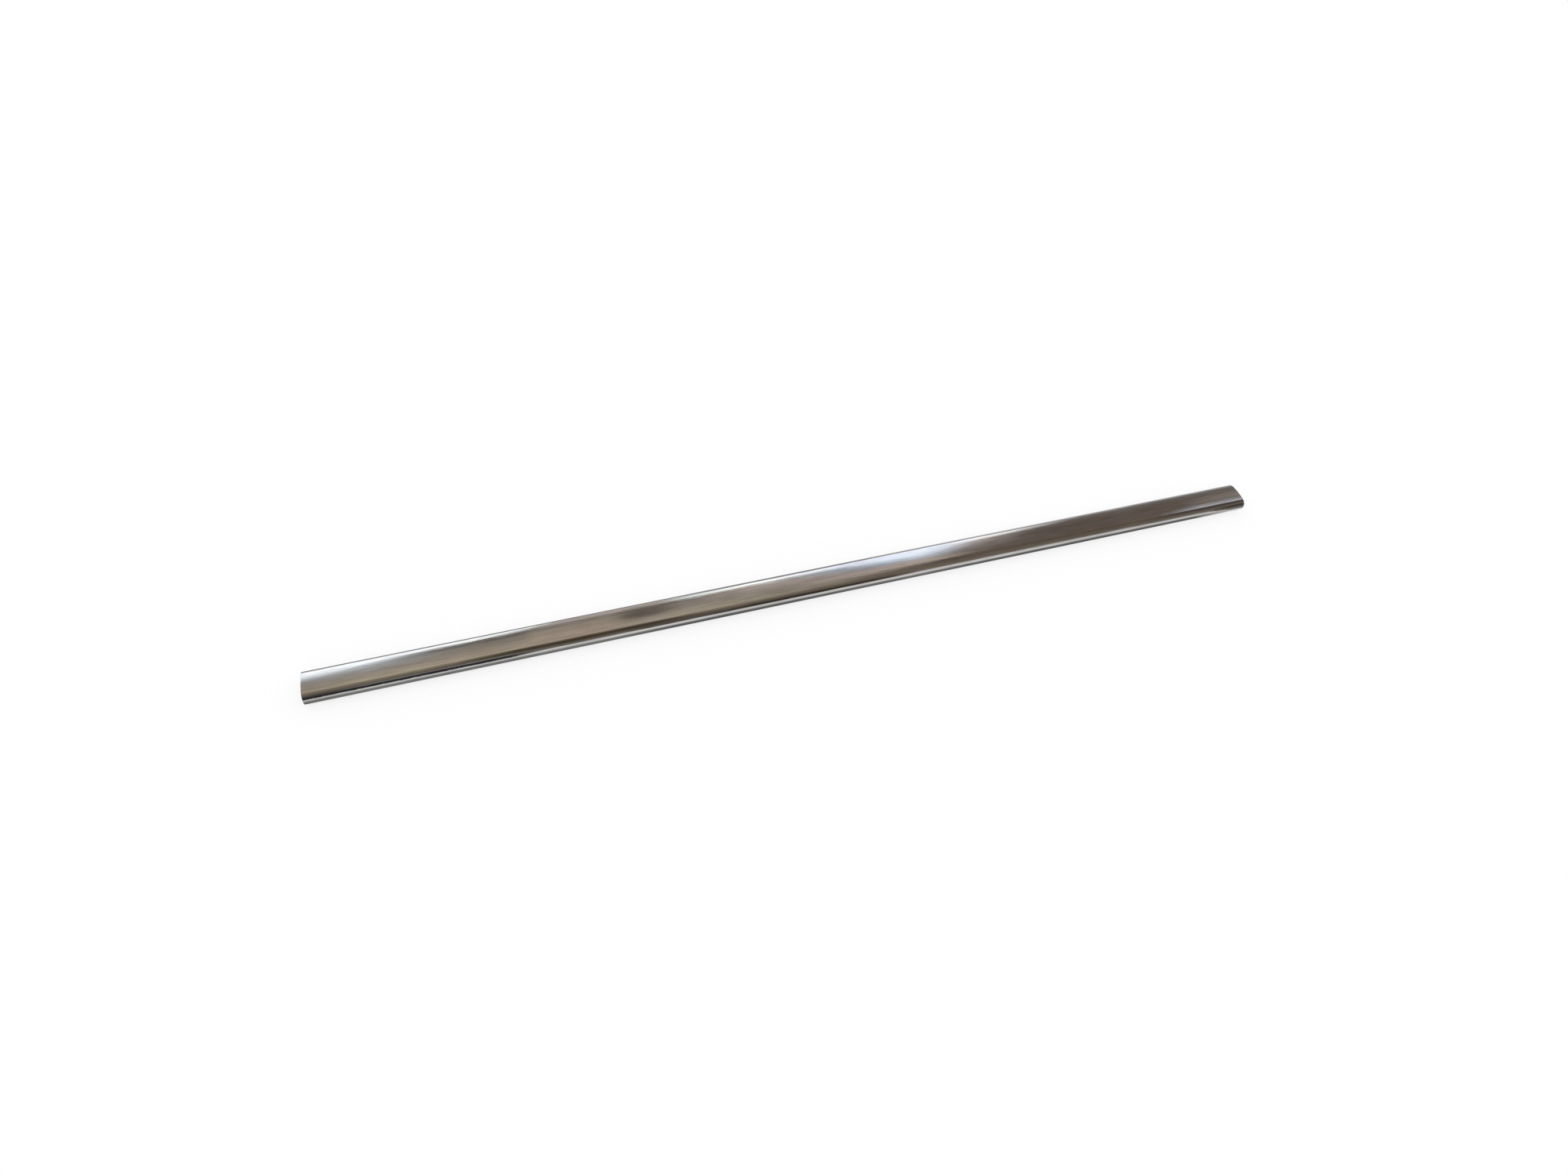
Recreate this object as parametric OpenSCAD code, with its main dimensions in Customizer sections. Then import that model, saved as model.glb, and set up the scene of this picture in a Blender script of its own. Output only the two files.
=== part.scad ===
// Oval closet rod: one length of thin-walled tube with square-cut, deburred ends.
// It lies on a broad face: length along X, width along Y, lowest line on Z = 0.

/* [Rod] */
// Length of the rod between its cut ends (a 36 inch stock length)
rod_length = 914.4; // [300:0.1:2000]

/* [Section] */
// Width of the oval, over its two narrow edges
section_width = 30; // [26:0.5:36]
// Thickness of the oval, over the crowns of its two broad faces
section_thickness = 15; // [12:0.5:18]
// Radius to which the broad faces are crowned
face_radius = 71.25; // [60:0.25:200]
// Thickness of the tube's wall
wall = 1; // [0.6:0.1:2]

/* [Ends] */
// Width of the deburring chamfer round the outer and inner rim of each end
deburr = 0.2; // [0.05:0.05:0.25]

/* [Hidden] */
half_width = section_width / 2;
half_thickness = section_thickness / 2;
half_length = rod_length / 2;

// The oval is four arcs: two broad faces and two narrow edges that run into them smoothly.
// The edge radius follows from the other sizes, since the arcs are tangent where they meet.
edge_radius = (2 * face_radius * half_thickness - half_width ^ 2 - half_thickness ^ 2)
    / (2 * (face_radius - half_width));
edge_center = half_width - edge_radius;
face_center = face_radius - half_thickness;

// Lines from a face's centre through the edges' centres part the four stretches of wall.
// They run on to this distance from the section's middle, well outside it.
sector_reach = section_width;
sector_x = edge_center * (1 + sector_reach / face_center);
sector_height = rod_length + section_width;

$fn = 128;

// Wall of the tube cut lengthwise: from the inner to the outer radius across, along the rod upwards
module wall_profile(outer_radius) {
    inner_radius = outer_radius - wall;
    polygon([
        [inner_radius, deburr - half_length],
        [inner_radius + deburr, -half_length],
        [outer_radius - deburr, -half_length],
        [outer_radius, deburr - half_length],
        [outer_radius, half_length - deburr],
        [outer_radius - deburr, half_length],
        [inner_radius + deburr, half_length],
        [inner_radius, half_length - deburr]
    ]);
}

// The part of a full turn of wall that lies within an outlined sector of the section
module wall_arc(center, outer_radius, sector) {
    intersection() {
        translate(center) rotate_extrude() wall_profile(outer_radius);
        linear_extrude(sector_height, center = true) polygon(sector);
    }
}

module broad_face() {
    wall_arc([0, -face_center], face_radius, [
        [-edge_center, 0],
        [edge_center, 0],
        [sector_x, sector_reach],
        [-sector_x, sector_reach]
    ]);
}

module narrow_edge() {
    wall_arc([-edge_center, 0], edge_radius, [
        [-edge_center, 0],
        [-sector_x, sector_reach],
        [-sector_reach, sector_reach],
        [-sector_reach, -sector_reach],
        [-sector_x, -sector_reach]
    ]);
}

// The whole rod, turned from standing on its end to lying on a broad face
module oval_tube() {
    color("#8c857c")
        translate([0, 0, half_thickness])
            rotate([90, 0, 90])
                for (side = [0, 1]) {
                    mirror([0, side, 0]) broad_face();
                    mirror([side, 0, 0]) narrow_edge();
                }
}

oval_tube();
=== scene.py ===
import math

import bmesh
import bpy
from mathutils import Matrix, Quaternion, Vector


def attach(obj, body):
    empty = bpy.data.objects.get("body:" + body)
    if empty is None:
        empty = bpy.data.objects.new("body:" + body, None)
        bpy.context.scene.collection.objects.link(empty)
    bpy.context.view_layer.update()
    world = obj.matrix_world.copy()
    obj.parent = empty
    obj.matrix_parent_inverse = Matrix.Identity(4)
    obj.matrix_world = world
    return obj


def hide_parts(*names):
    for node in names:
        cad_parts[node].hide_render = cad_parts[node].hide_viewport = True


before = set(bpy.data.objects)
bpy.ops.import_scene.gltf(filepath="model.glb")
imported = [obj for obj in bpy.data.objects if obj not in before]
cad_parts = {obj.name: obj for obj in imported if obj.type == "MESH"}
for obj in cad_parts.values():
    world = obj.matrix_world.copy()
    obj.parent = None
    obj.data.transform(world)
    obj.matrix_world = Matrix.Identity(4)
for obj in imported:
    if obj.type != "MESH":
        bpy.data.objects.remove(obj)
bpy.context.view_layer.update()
print("stage: frame loaded")

mm = 0.001


def makeObject(name, bm):
    mesh = bpy.data.meshes.new(name)
    bm.to_mesh(mesh)
    bm.free()
    made = bpy.data.objects.new(name, mesh)
    bpy.context.scene.collection.objects.link(made)
    return made


# Camera: where the photo was taken from, in the rod's own frame
cameraSetup = {
    "eye": Vector((-255.3, -505.8, 708.6)) * mm,
    "aim": Vector((-40.8, 1.8, 7.5)) * mm,
    "rollDegrees": 6.80,
    "lens": 22.07,
    "sensor": 36.0,
    "clip": (0.01, 50.0),
}


def makeCamera(setup):
    data = bpy.data.cameras.new("photoCamera")
    data.sensor_width = setup["sensor"]
    data.lens = setup["lens"]
    data.clip_start, data.clip_end = setup["clip"]
    made = bpy.data.objects.new("photoCamera", data)
    bpy.context.scene.collection.objects.link(made)
    made.location = setup["eye"]
    made.rotation_mode = "QUATERNION"
    level = (setup["aim"] - setup["eye"]).to_track_quat("-Z", "Y")
    roll = Quaternion((0, 0, 1), math.radians(setup["rollDegrees"]))
    made.rotation_quaternion = level @ roll
    bpy.context.scene.camera = made


makeCamera(cameraSetup)
print("stage: camera set")


# Shader helpers
def addNode(tree, kind, **values):
    node = tree.nodes.new(kind)
    for name, value in values.items():
        setattr(node, name, value)
    return node


def mathNode(tree, operation, first, second=None):
    node = addNode(tree, "ShaderNodeMath", operation=operation)
    for socket, value in zip(node.inputs, (first, second)):
        if value is None:
            continue
        if isinstance(value, (int, float)):
            socket.default_value = value
        else:
            tree.links.new(value, socket)
    return node.outputs[0]


def mixColour(tree, factor, first, second, blend="MIX"):
    node = addNode(tree, "ShaderNodeMix", data_type="RGBA", blend_type=blend)
    for name, value in (("Factor", factor), ("A", first), ("B", second)):
        socket = next(s for s in node.inputs if s.name == name and s.enabled)
        if isinstance(value, (int, float, tuple)):
            socket.default_value = value
        else:
            tree.links.new(value, socket)
    return next(s for s in node.outputs if s.enabled)


def newGroup(name, inputs, outputs):
    group = bpy.data.node_groups.new(name, "ShaderNodeTree")
    for label, kind, value in inputs:
        socket = group.interface.new_socket(label, in_out="INPUT", socket_type=kind)
        if value is not None:
            socket.default_value = value
    for label, kind in outputs:
        group.interface.new_socket(label, in_out="OUTPUT", socket_type=kind)
    start = addNode(group, "NodeGroupInput")
    end = addNode(group, "NodeGroupOutput")
    return group, start, end


def placeGroup(tree, group, **values):
    node = addNode(tree, "ShaderNodeGroup", node_tree=group)
    for name, value in values.items():
        node.inputs[name].default_value = value
    return node


def newMaterial(name):
    material = bpy.data.materials.new(name)
    material.use_nodes = True
    tree = material.node_tree
    return material, tree, tree.nodes["Principled BSDF"]


# Lines drawn or sawn into metal, stretched along one direction, with soft smudges over them
metalLook = {
    "lineDetail": 3.0,
    "lineRoughness": 0.6,
    "smudgeDetail": 4.0,
    "lineShare": 0.6,           # the rest of the shade comes from the smudges
    "shadeRange": (0.4, 0.6),   # taken as the darkest and the lightest tone
}


def makeMetalLines(look):
    group, start, end = newGroup(
        "metalLines",
        [("Stretch", "NodeSocketVector", (1.0, 1.0, 1.0)),
         ("Smudge Scale", "NodeSocketFloat", 20.0)],
        [("Lines", "NodeSocketFloat"), ("Smudge", "NodeSocketFloat")])
    place = addNode(group, "ShaderNodeTexCoord")
    scaled = addNode(group, "ShaderNodeVectorMath", operation="MULTIPLY")
    group.links.new(place.outputs["Object"], scaled.inputs[0])
    group.links.new(start.outputs["Stretch"], scaled.inputs[1])
    lines = addNode(group, "ShaderNodeTexNoise")
    lines.inputs["Scale"].default_value = 1.0
    lines.inputs["Detail"].default_value = look["lineDetail"]
    lines.inputs["Roughness"].default_value = look["lineRoughness"]
    group.links.new(scaled.outputs[0], lines.inputs["Vector"])
    smudge = addNode(group, "ShaderNodeTexNoise")
    smudge.inputs["Detail"].default_value = look["smudgeDetail"]
    group.links.new(place.outputs["Object"], smudge.inputs["Vector"])
    group.links.new(start.outputs["Smudge Scale"], smudge.inputs["Scale"])
    group.links.new(lines.outputs["Fac"], end.inputs["Lines"])
    group.links.new(smudge.outputs["Fac"], end.inputs["Smudge"])
    return group


metalLines = makeMetalLines(metalLook)


# One metal finish: colour, roughness and relief all follow the lines and smudges
def makeMetal(name, finish):
    material, tree, shader = newMaterial(name)
    shader.inputs["Metallic"].default_value = finish["metallic"]
    detail = placeGroup(tree, metalLines, **{
        "Stretch": finish["stretch"], "Smudge Scale": finish["smudgeScale"]})
    lineShare = metalLook["lineShare"]
    mixed = mathNode(tree, "ADD", mathNode(tree, "MULTIPLY", detail.outputs["Lines"], lineShare),
                     mathNode(tree, "MULTIPLY", detail.outputs["Smudge"], 1.0 - lineShare))
    shade = addNode(tree, "ShaderNodeMapRange")
    darkest, lightest = metalLook["shadeRange"]
    shade.inputs["From Min"].default_value = darkest
    shade.inputs["From Max"].default_value = lightest
    tree.links.new(mixed, shade.inputs["Value"])
    tint = mixColour(tree, shade.outputs["Result"],
                     (*finish["darkColour"], 1.0), (*finish["lightColour"], 1.0))
    tree.links.new(tint, shader.inputs["Base Color"])
    rough = addNode(tree, "ShaderNodeMapRange")
    rough.inputs["To Min"].default_value, rough.inputs["To Max"].default_value = finish["roughness"]
    tree.links.new(shade.outputs["Result"], rough.inputs["Value"])
    tree.links.new(rough.outputs["Result"], shader.inputs["Roughness"])
    bump = addNode(tree, "ShaderNodeBump")
    bump.inputs["Strength"].default_value = 1.0
    bump.inputs["Distance"].default_value = finish["lineDepth"]
    tree.links.new(detail.outputs["Lines"], bump.inputs["Height"])
    tree.links.new(bump.outputs["Normal"], shader.inputs["Normal"])
    return material


# The tube: the same four-arc oval as the solid, at a finer pitch, so that it mirrors cleanly
tube = {
    "length": 914.4 * mm,
    "width": 30.0 * mm,
    "thickness": 15.0 * mm,
    "faceRadius": 71.25 * mm,
    "wall": 1.0 * mm,
    "rimRadius": 0.2 * mm,
    "rimSteps": 4,
    "faceSteps": 48,
    "edgeSteps": 72,
    "ringsAlong": 48,
    "supportRing": 0.5 * mm,   # keeps the shading of the rim off the long faces
    "beadWidth": 1.8 * mm,     # weld bead inside the tube, along the lower face
    "beadHeight": 0.25 * mm,
}
chromePlate = {
    "metallic": 1.0,
    "darkColour": (0.46, 0.455, 0.445),
    "lightColour": (0.58, 0.575, 0.565),
    "roughness": (0.025, 0.07),
    "stretch": (45.0, 800.0, 800.0),
    "smudgeScale": 18.0,
    "lineDepth": 0.000036,
}
cutSteel = {
    "metallic": 1.0,
    "darkColour": (0.30, 0.29, 0.28),
    "lightColour": (0.46, 0.45, 0.43),
    "roughness": (0.28, 0.42),
    "stretch": (200.0, 60.0, 4000.0),
    "smudgeScale": 300.0,
    "lineDepth": 0.00003,
}
boreSteel = {
    "metallic": 0.35,   # dull mill skin, which the plating hardly reaches
    "darkColour": (0.29, 0.275, 0.26),
    "lightColour": (0.46, 0.44, 0.42),
    "roughness": (0.36, 0.55),
    "stretch": (8.0, 500.0, 500.0),
    "smudgeScale": 90.0,
    "lineDepth": 0.00002,
}


def ovalPoints(spec):
    # (y, z, normal y, normal z) round the section, from its rest line, middle at the origin
    halfWidth = spec["width"] / 2
    halfThick = spec["thickness"] / 2
    faceRadius = spec["faceRadius"]
    edgeRadius = ((2 * faceRadius * halfThick - halfWidth ** 2 - halfThick ** 2)
                  / (2 * (faceRadius - halfWidth)))
    edgeCentre = halfWidth - edgeRadius
    faceCentre = faceRadius - halfThick
    lean = math.atan2(edgeCentre, faceCentre)
    quarter = math.pi / 2
    arcs = (
        (0.0, faceCentre, faceRadius, -quarter - lean, -quarter + lean, spec["faceSteps"]),
        (edgeCentre, 0.0, edgeRadius, -quarter + lean, quarter - lean, spec["edgeSteps"]),
        (0.0, -faceCentre, faceRadius, quarter - lean, quarter + lean, spec["faceSteps"]),
        (-edgeCentre, 0.0, edgeRadius, quarter + lean, 3 * quarter - lean, spec["edgeSteps"]),
    )
    points = []
    for centreY, centreZ, radius, first, last, steps in arcs:
        for i in range(steps):
            angle = first + (last - first) * i / steps
            normalY = math.cos(angle)
            normalZ = math.sin(angle)
            points.append((centreY + radius * normalY, centreZ + radius * normalZ, normalY, normalZ))
    return points


def wallProfile(spec):
    # (along, depth below the skin, part) once round the wall, cut lengthwise
    half = spec["length"] / 2
    rim = spec["rimRadius"]
    straight = half - rim
    near = straight - spec["supportRing"]
    rings = spec["ringsAlong"]
    skinLine = [-straight] + [-near + 2 * near * i / rings for i in range(rings + 1)] + [straight]
    corner = [math.pi / 2 * i / spec["rimSteps"] for i in range(1, spec["rimSteps"] + 1)]
    outerRim = [(straight + rim * math.sin(a), rim * (1 - math.cos(a))) for a in corner]
    depth = spec["wall"]
    innerRim = [(along, depth - below) for along, below in reversed(outerRim)]
    profile = [(x, 0.0, "skin") for x in skinLine]
    profile += [(x, d, "skin") for x, d in outerRim[:-1]]
    profile += [(*outerRim[-1], "end")]
    profile += [(x, d, "bore") for x, d in innerRim]
    profile += [(x, depth, "bore") for x in reversed(skinLine)]
    profile += [(-x, d, "bore") for x, d in reversed(innerRim[1:])]
    profile += [(-innerRim[0][0], innerRim[0][1], "end")]
    profile += [(-x, d, "skin") for x, d in reversed(outerRim)]
    return profile


def makeTube(spec):
    section = ovalPoints(spec)
    profile = wallProfile(spec)
    middle = spec["thickness"] / 2
    parts = {"skin": 0, "end": 1, "bore": 2}
    bm = bmesh.new()
    loops = []
    for along, depth, _ in profile:
        loop = []
        for y, z, normalY, normalZ in section:
            below = depth
            onBead = abs(y) < spec["beadWidth"] / 2 and normalZ < 0
            if onBead and depth == spec["wall"]:
                below += spec["beadHeight"] * math.cos(math.pi * y / spec["beadWidth"]) ** 2
            loop.append(bm.verts.new((along, y - below * normalY, middle + z - below * normalZ)))
        loops.append(loop)
    count = len(section)
    for j, loop in enumerate(loops):
        following = loops[(j + 1) % len(loops)]
        for i in range(count):
            k = (i + 1) % count
            face = bm.faces.new((loop[i], loop[k], following[k], following[i]))
            face.material_index = parts[profile[j][2]]
            face.smooth = True
    bmesh.ops.recalc_face_normals(bm, faces=bm.faces)
    made = makeObject("rodTube", bm)
    made.data.materials.append(makeMetal("chromePlate", chromePlate))
    made.data.materials.append(makeMetal("cutSteel", cutSteel))
    made.data.materials.append(makeMetal("boreSteel", boreSteel))
    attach(made, "root")
    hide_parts("oval_tube")
    return made


rodTube = makeTube(tube)
print("stage: tube made,", len(rodTube.data.polygons), "faces")


# Floor, soft light and a tent of soft tones that only the metal mirrors
studio = {
    "floorSize": 16.0,
    "floorCells": 8,
    "floorColour": (0.95, 0.95, 0.95),
    "grainScale": 3.0,
    "grainLift": 1.01,    # how much lighter the lightest grain is
    "floorWhite": 0.72,   # share of the floor that shows plain white, which leaves its shadow soft
    "ambient": 0.86,
    "keyStrength": 0.75,
    "keyDirection": Vector((0.45, 0.75, -1.2)),
    "keySpreadDegrees": 45.0,
}


def seenRay(tree):
    # 1 for a ray from the camera, or one that metal or glass passes on, and 0 for the light itself
    path = addNode(tree, "ShaderNodeLightPath")
    seen = mathNode(tree, "MAXIMUM", path.outputs["Is Camera Ray"], path.outputs["Is Glossy Ray"])
    return mathNode(tree, "MAXIMUM", seen, path.outputs["Is Transmission Ray"])


def makeFloor(spec):
    bm = bmesh.new()
    cells = spec["floorCells"]
    bmesh.ops.create_grid(bm, x_segments=cells, y_segments=cells, size=spec["floorSize"] / 2)
    made = makeObject("floor", bm)
    material, tree, shader = newMaterial("floorPaint")
    shader.inputs["Roughness"].default_value = 1.0
    shader.inputs["Specular IOR Level"].default_value = 0.0
    grain = addNode(tree, "ShaderNodeTexNoise")
    grain.inputs["Scale"].default_value = spec["grainScale"]
    lighter = (*[c * spec["grainLift"] for c in spec["floorColour"]], 1.0)
    tone = mixColour(tree, grain.outputs["Fac"], (*spec["floorColour"], 1.0), lighter)
    tree.links.new(tone, shader.inputs["Base Color"])
    white = addNode(tree, "ShaderNodeEmission")
    share = mathNode(tree, "MULTIPLY", seenRay(tree), spec["floorWhite"])
    mixed = addNode(tree, "ShaderNodeMixShader")
    tree.links.new(share, mixed.inputs["Fac"])
    tree.links.new(shader.outputs["BSDF"], mixed.inputs[1])
    tree.links.new(white.outputs["Emission"], mixed.inputs[2])
    tree.links.new(mixed.outputs["Shader"], tree.nodes["Material Output"].inputs["Surface"])
    material.cycles.emission_sampling = "NONE"
    made.data.materials.append(material)


def makeWorld(spec):
    world = bpy.data.worlds.new("studioWorld")
    world.use_nodes = True
    tree = world.node_tree
    background = tree.nodes["Background"]
    background.inputs["Color"].default_value = (1.0, 1.0, 1.0, 1.0)
    strength = addNode(tree, "ShaderNodeMapRange")
    strength.inputs["To Min"].default_value = spec["ambient"]
    strength.inputs["To Max"].default_value = 1.0
    tree.links.new(seenRay(tree), strength.inputs["Value"])
    tree.links.new(strength.outputs["Result"], background.inputs["Strength"])
    bpy.context.scene.world = world


def makeKeyLight(spec):
    data = bpy.data.lights.new("keyLight", "SUN")
    data.energy = spec["keyStrength"]
    data.angle = math.radians(spec["keySpreadDegrees"])
    made = bpy.data.objects.new("keyLight", data)
    bpy.context.scene.collection.objects.link(made)
    made.rotation_mode = "QUATERNION"
    made.rotation_quaternion = spec["keyDirection"].to_track_quat("-Z", "Y")
    made.visible_glossy = False


# The tent is a half cylinder about the rod: 0 degrees round it is the near floor,
# 90 is overhead and 180 is the far floor.
tent = {
    "radius": 1.5,
    "along": (-4.0, 5.0),
    "steps": 96,
    "leftTones": (     # degrees round, tone there
        (0, (0.10, 0.10, 0.10)),
        (45, (0.15, 0.13, 0.105)),
        (75, (0.32, 0.265, 0.20)),
        (106, (0.60, 0.52, 0.40)),
        (118, (0.485, 0.412, 0.335)),
        (130, (0.36, 0.32, 0.27)),
        (137, (0.19, 0.17, 0.15)),
        (146, (0.50, 0.47, 0.44)),
        (165, (0.46, 0.45, 0.44)),
        (174, (0.30, 0.30, 0.30)),
    ),
    "rightTones": (
        (0, (0.30, 0.28, 0.25)),
        (45, (0.22, 0.18, 0.14)),
        (106, (0.178, 0.133, 0.105)),
        (116, (0.198, 0.152, 0.132)),
        (132, (0.186, 0.147, 0.126)),
        (158, (0.38, 0.37, 0.36)),
        (166, (0.56, 0.55, 0.54)),
        (175, (0.60, 0.60, 0.60)),
    ),
    "toneChange": (-110, 140),
    "mottle": 0.2,    # share by which the tones wander
    "hueWander": 0.12,
    "patchScale": 7.0,
    "patchDetail": 5.0,
    "patchRange": (0.3, 0.7),
}
# Cards are placed by the stretch of rod, in mm from its middle, where the camera sees them mirrored.
# rod and soft are in mm, round and roundSoft in degrees, lean in mm a degree.
cards = {
    "leftGreyCard": dict(rod=(-900, -365), soft=50, round=(124, 160), roundSoft=7,
                         colour=(0.57, 0.58, 0.59)),
    "middleGreyCard": dict(rod=(-100, 75), soft=60, round=(122, 160), roundSoft=8,
                           colour=(0.72, 0.595, 0.545)),
    "paleBlueCard": dict(rod=(66, 112), soft=30, round=(119, 160), roundSoft=4, lean=(-6.5, 0),
                         colour=(0.59, 0.63, 0.70)),
    "rightBrownCard": dict(rod=(60, 190), soft=40, round=(124, 160), roundSoft=12,
                           colour=(0.57, 0.485, 0.45)),
    "leftWhiteCard": dict(rod=(-700, -278), soft=36, round=(139.2, 164), roundSoft=2.5, lean=(0, -2.6),
                          colour=(1.85, 1.9, 1.95)),
    "leftEndWhiteCard": dict(rod=(-900, -440), soft=55, round=(131, 172), roundSoft=7, lean=(0, 8),
                             colour=(1.7, 1.8, 1.9)),
    "middleWhiteCard": dict(rod=(-140, 210), soft=62, round=(138.2, 157.5), roundSoft=2.5, lean=(1.5, 0),
                            colour=(1.9, 1.97, 2.0)),
    "blueWhiteCard": dict(rod=(76, 124), soft=36, round=(125, 155), roundSoft=10, lean=(-5, 1.0),
                          colour=(1.35, 1.5, 1.75)),
    "farTanCard": dict(rod=(-262, -150), soft=16, round=(138, 176), roundSoft=2,
                       colour=(0.66, 0.575, 0.53)),
    "beigeCard": dict(rod=(-274, -193), soft=5, round=(101, 134), roundSoft=8,
                      colour=(0.53, 0.435, 0.35)),
    "darkCard": dict(rod=(-193, -150), soft=14, round=(118.5, 138), roundSoft=7,
                     colour=(0.215, 0.178, 0.15)),
    "tanCard": dict(rod=(-20, 150), soft=30, round=(113.6, 122), roundSoft=1.5, lean=(0, -5),
                    colour=(0.675, 0.537, 0.485)),
    "brownCard": dict(rod=(-320, -130), soft=40, round=(40, 89), roundSoft=16,
                      colour=(0.105, 0.08, 0.055)),
    "blackCard": dict(rod=(-800, -285), soft=8, round=(-20, 27), roundSoft=4,
                      colour=(0.04, 0.04, 0.045)),
    "greyCard": dict(rod=(-420, -275), soft=20, round=(31, 43), roundSoft=3,
                     colour=(0.38, 0.36, 0.34)),
    "lowGreyCard": dict(rod=(-275, -185), soft=10, round=(-2, 36), roundSoft=5,
                        colour=(0.22, 0.195, 0.16)),
    "lowDarkCard": dict(rod=(-95, 70), soft=30, round=(9, 42), roundSoft=7,
                        colour=(0.06, 0.05, 0.04)),
    "lowWhiteCard": dict(rod=(-275, 415), soft=18, round=(-20, 9.5), roundSoft=5,
                         colour=(0.81, 0.795, 0.77)),
    "risingWhiteCard": dict(rod=(85, 330), soft=18, round=(-20, 16), roundSoft=5,
                            colour=(0.86, 0.845, 0.82)),
    "rightTanCard": dict(rod=(405, 800), soft=30, round=(114, 131), roundSoft=8,
                         colour=(0.33, 0.29, 0.25)),
    "rightBlueCard": dict(rod=(385, 800), soft=30, round=(98.5, 114), roundSoft=4,
                          colour=(0.64, 0.66, 0.74)),
    "rightDarkCard": dict(rod=(370, 800), soft=30, round=(62, 90), roundSoft=7,
                          colour=(0.11, 0.10, 0.095)),
    "rightOliveCard": dict(rod=(425, 800), soft=12, round=(-20, 34), roundSoft=6,
                           colour=(0.085, 0.07, 0.045)),
}


def tentAlong(rodMm):
    # where the camera's line of sight to this place on the rod, mirrored there, meets the tent
    eye = cameraSetup["eye"]
    spread = math.hypot(eye.y, eye.z - tube["thickness"] / 2)
    place = rodMm * mm
    return place + (place - eye.x) * tent["radius"] / spread


def makeSoftCard():
    names = ("Along", "Along From", "Along To", "Along Soft", "From Lean", "To Lean",
             "Around", "Around From", "Around To", "Around Soft")
    group, start, end = newGroup("softCard", [(name, "NodeSocketFloat", 0.0) for name in names],
                                 [("Mask", "NodeSocketFloat")])
    given = start.outputs
    height = mathNode(group, "SUBTRACT", given["Around"], given["Around From"])
    mask = None
    for side in ("Along", "Around"):
        for limit, first, second in (("From", "SUBTRACT", "ADD"), ("To", "ADD", "SUBTRACT")):
            place = given[side]
            if side == "Along":
                shift = mathNode(group, "MULTIPLY", height, given[limit + " Lean"])
                place = mathNode(group, "SUBTRACT", place, shift)
            edge = given[side + " " + limit]
            soft = given[side + " Soft"]
            ramp = addNode(group, "ShaderNodeMapRange", interpolation_type="SMOOTHSTEP")
            group.links.new(place, ramp.inputs["Value"])
            group.links.new(mathNode(group, first, edge, soft), ramp.inputs["From Min"])
            group.links.new(mathNode(group, second, edge, soft), ramp.inputs["From Max"])
            result = ramp.outputs["Result"]
            mask = result if mask is None else mathNode(group, "MULTIPLY", mask, result)
    group.links.new(mask, end.inputs["Mask"])
    return group


def toneRamp(tree, place, tones):
    ramp = addNode(tree, "ShaderNodeValToRGB")
    stops = ramp.color_ramp.elements
    while len(stops) < len(tones):
        stops.new(0.5)
    first = tones[0][0]
    span = tones[-1][0] - first
    for stop, (position, colour) in zip(stops, tones):
        stop.position = (position - first) / span
        stop.color = (*colour, 1.0)
    share = mathNode(tree, "DIVIDE", mathNode(tree, "SUBTRACT", place, first), span)
    tree.links.new(share, ramp.inputs["Fac"])
    return ramp.outputs["Color"]


def glowMaterial(name):
    material, tree, shader = newMaterial(name)
    material.cycles.emission_sampling = "NONE"   # the mirrored rays find it by themselves
    tree.nodes.remove(shader)
    glow = addNode(tree, "ShaderNodeEmission")
    tree.links.new(glow.outputs[0], tree.nodes["Material Output"].inputs["Surface"])
    place = addNode(tree, "ShaderNodeTexCoord")
    split = addNode(tree, "ShaderNodeSeparateXYZ")
    tree.links.new(place.outputs["Object"], split.inputs[0])
    return material, tree, glow, split.outputs


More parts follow.
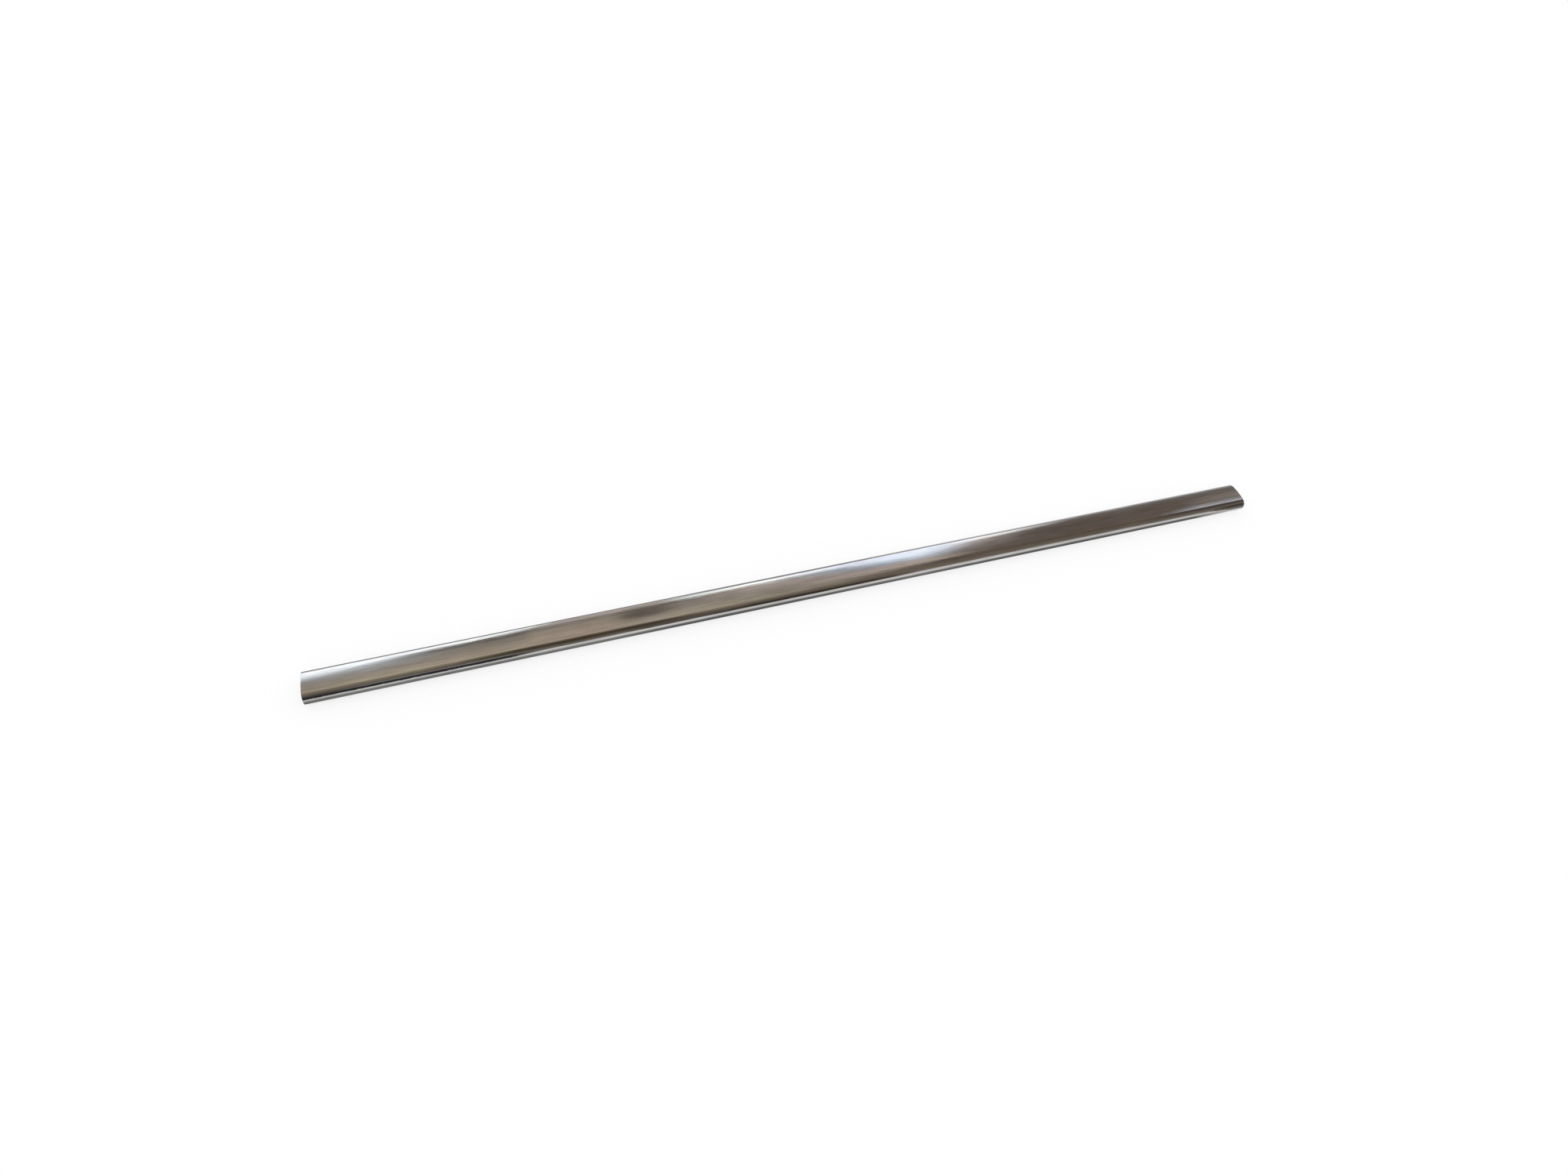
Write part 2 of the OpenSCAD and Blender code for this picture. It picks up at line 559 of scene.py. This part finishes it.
def makeTentMaterial(spec):
    material, tree, glow, place = glowMaterial("tentTones")
    along = place["X"]
    toNear = mathNode(tree, "MULTIPLY", place["Y"], -1.0)
    around = mathNode(tree, "DEGREES", mathNode(tree, "ARCTAN2", place["Z"], toNear))
    change = addNode(tree, "ShaderNodeMapRange", interpolation_type="SMOOTHSTEP")
    change.inputs["From Min"].default_value = tentAlong(spec["toneChange"][0])
    change.inputs["From Max"].default_value = tentAlong(spec["toneChange"][1])
    tree.links.new(along, change.inputs["Value"])
    colour = mixColour(tree, change.outputs["Result"], toneRamp(tree, around, spec["leftTones"]),
                       toneRamp(tree, around, spec["rightTones"]))
    softCard = makeSoftCard()
    scale = tentAlong(1.0) - tentAlong(0.0)
    for card in cards.values():
        leanFrom, leanTo = card.get("lean", (0, 0))
        node = placeGroup(tree, softCard, **{
            "Along From": tentAlong(card["rod"][0]), "Along To": tentAlong(card["rod"][1]),
            "Along Soft": card["soft"] * scale,
            "From Lean": leanFrom * scale, "To Lean": leanTo * scale,
            "Around From": card["round"][0], "Around To": card["round"][1],
            "Around Soft": card["roundSoft"]})
        tree.links.new(along, node.inputs["Along"])
        tree.links.new(around, node.inputs["Around"])
        colour = mixColour(tree, node.outputs["Mask"], colour, (*card["colour"], 1.0))
    patches = addNode(tree, "ShaderNodeTexNoise")
    patches.inputs["Scale"].default_value = spec["patchScale"]
    patches.inputs["Detail"].default_value = spec["patchDetail"]
    spread = addNode(tree, "ShaderNodeMapRange")
    spread.inputs["From Min"].default_value, spread.inputs["From Max"].default_value = spec["patchRange"]
    spread.inputs["To Min"].default_value = 1.0 - spec["mottle"]
    spread.inputs["To Max"].default_value = 1.0 + spec["mottle"]
    tree.links.new(patches.outputs["Fac"], spread.inputs["Value"])
    hues = addNode(tree, "ShaderNodeVectorMath", operation="SCALE")
    hues.inputs["Scale"].default_value = 2.0   # about 1 in each colour, so that the tones stay level
    tree.links.new(patches.outputs["Color"], hues.inputs[0])
    tinted = mixColour(tree, 1.0, colour, hues.outputs[0], "MULTIPLY")
    colour = mixColour(tree, spec["hueWander"], colour, tinted)
    tree.links.new(colour, glow.inputs["Color"])
    tree.links.new(spread.outputs["Result"], glow.inputs["Strength"])
    return material


def onlyMirrored(made):
    made.visible_camera = False
    made.visible_diffuse = False
    made.visible_transmission = False
    made.visible_shadow = False


def makeTent(spec):
    bm = bmesh.new()
    rows = []
    for i in range(spec["steps"] + 1):
        angle = math.pi * i / spec["steps"]
        y = -spec["radius"] * math.cos(angle)
        z = spec["radius"] * math.sin(angle)
        rows.append([bm.verts.new((x, y, z)) for x in spec["along"]])
    for one, two in zip(rows, rows[1:]):
        bm.faces.new((one[0], one[1], two[1], two[0]))
    made = makeObject("tent", bm)
    made.location.z = tube["thickness"] / 2
    made.data.materials.append(makeTentMaterial(spec))
    onlyMirrored(made)


# Strips on the floor, dark beside the rod, that only the metal mirrors; the near one is a painted
# contact shadow.
# Each goes from its open tone to its close tones, which change along the rod, over the fade.
floorStrips = {
    "nearShadowStrip": {
        "corners": ((-475, -80), (445, -80), (445, -12.5), (-475, -12.5)),   # along, across (mm)
        "lift": 0.1 * mm,
        "open": 0.93,
        # close tones: painted contact shadow, mirrored along the rod's lower edge
        "close": ((-475, 0.29), (-200, 0.27), (-145, 0.16), (95, 0.23), (185, 0.17), (405, 0.18),
                  (445, 0.80)),
        "fade": (-45, -20),   # across (mm)
    },
    "farStrip": {
        "corners": ((-475, 6), (620, 6), (1000, 600), (-600, 600)),
        "lift": 0.1 * mm,
        "open": 0.50,
        "close": ((-475, 0.36), (60, 0.36), (200, 0.70), (620, 0.60)),
        "fade": (600, 90),
    },
    "leftStrip": {
        "corners": ((-289, -110), (-302, -500), (-750, -500), (-640, -110)),
        "lift": 0.2 * mm,
        "open": 0.05,
        "close": ((-750, 0.05), (-289, 0.05)),
        "fade": (-300, -30),
    },
    "endStrip": {
        "corners": ((447, -21), (452, -50), (640, -315), (1560, -1500), (2600, -1500), (1300, -21)),
        "lift": 0.2 * mm,
        "open": 0.11,
        "close": ((447, 0.30), (1300, 0.30)),
        "fade": (-120, -30),
    },
}


def makeFloorStrip(name, spec):
    material, tree, glow, place = glowMaterial(name + "Tone")
    along = mathNode(tree, "DIVIDE", place["X"], mm)
    across = mathNode(tree, "DIVIDE", place["Y"], mm)
    fade = addNode(tree, "ShaderNodeMapRange", interpolation_type="SMOOTHSTEP")
    fade.inputs["From Min"].default_value, fade.inputs["From Max"].default_value = spec["fade"]
    tree.links.new(across, fade.inputs["Value"])
    closeTones = toneRamp(tree, along, [(x, (tone, tone, tone)) for x, tone in spec["close"]])
    openTone = (spec["open"], spec["open"], spec["open"], 1.0)
    tree.links.new(mixColour(tree, fade.outputs["Result"], openTone, closeTones), glow.inputs["Color"])
    bm = bmesh.new()
    bm.faces.new([bm.verts.new((x * mm, y * mm, spec["lift"])) for x, y in spec["corners"]])
    made = makeObject(name, bm)
    made.data.materials.append(material)
    onlyMirrored(made)


makeFloor(studio)
makeWorld(studio)
makeKeyLight(studio)
makeTent(tent)
for stripName, strip in floorStrips.items():
    makeFloorStrip(stripName, strip)
bpy.context.scene.view_settings.view_transform = "Standard"
print("stage: studio set")
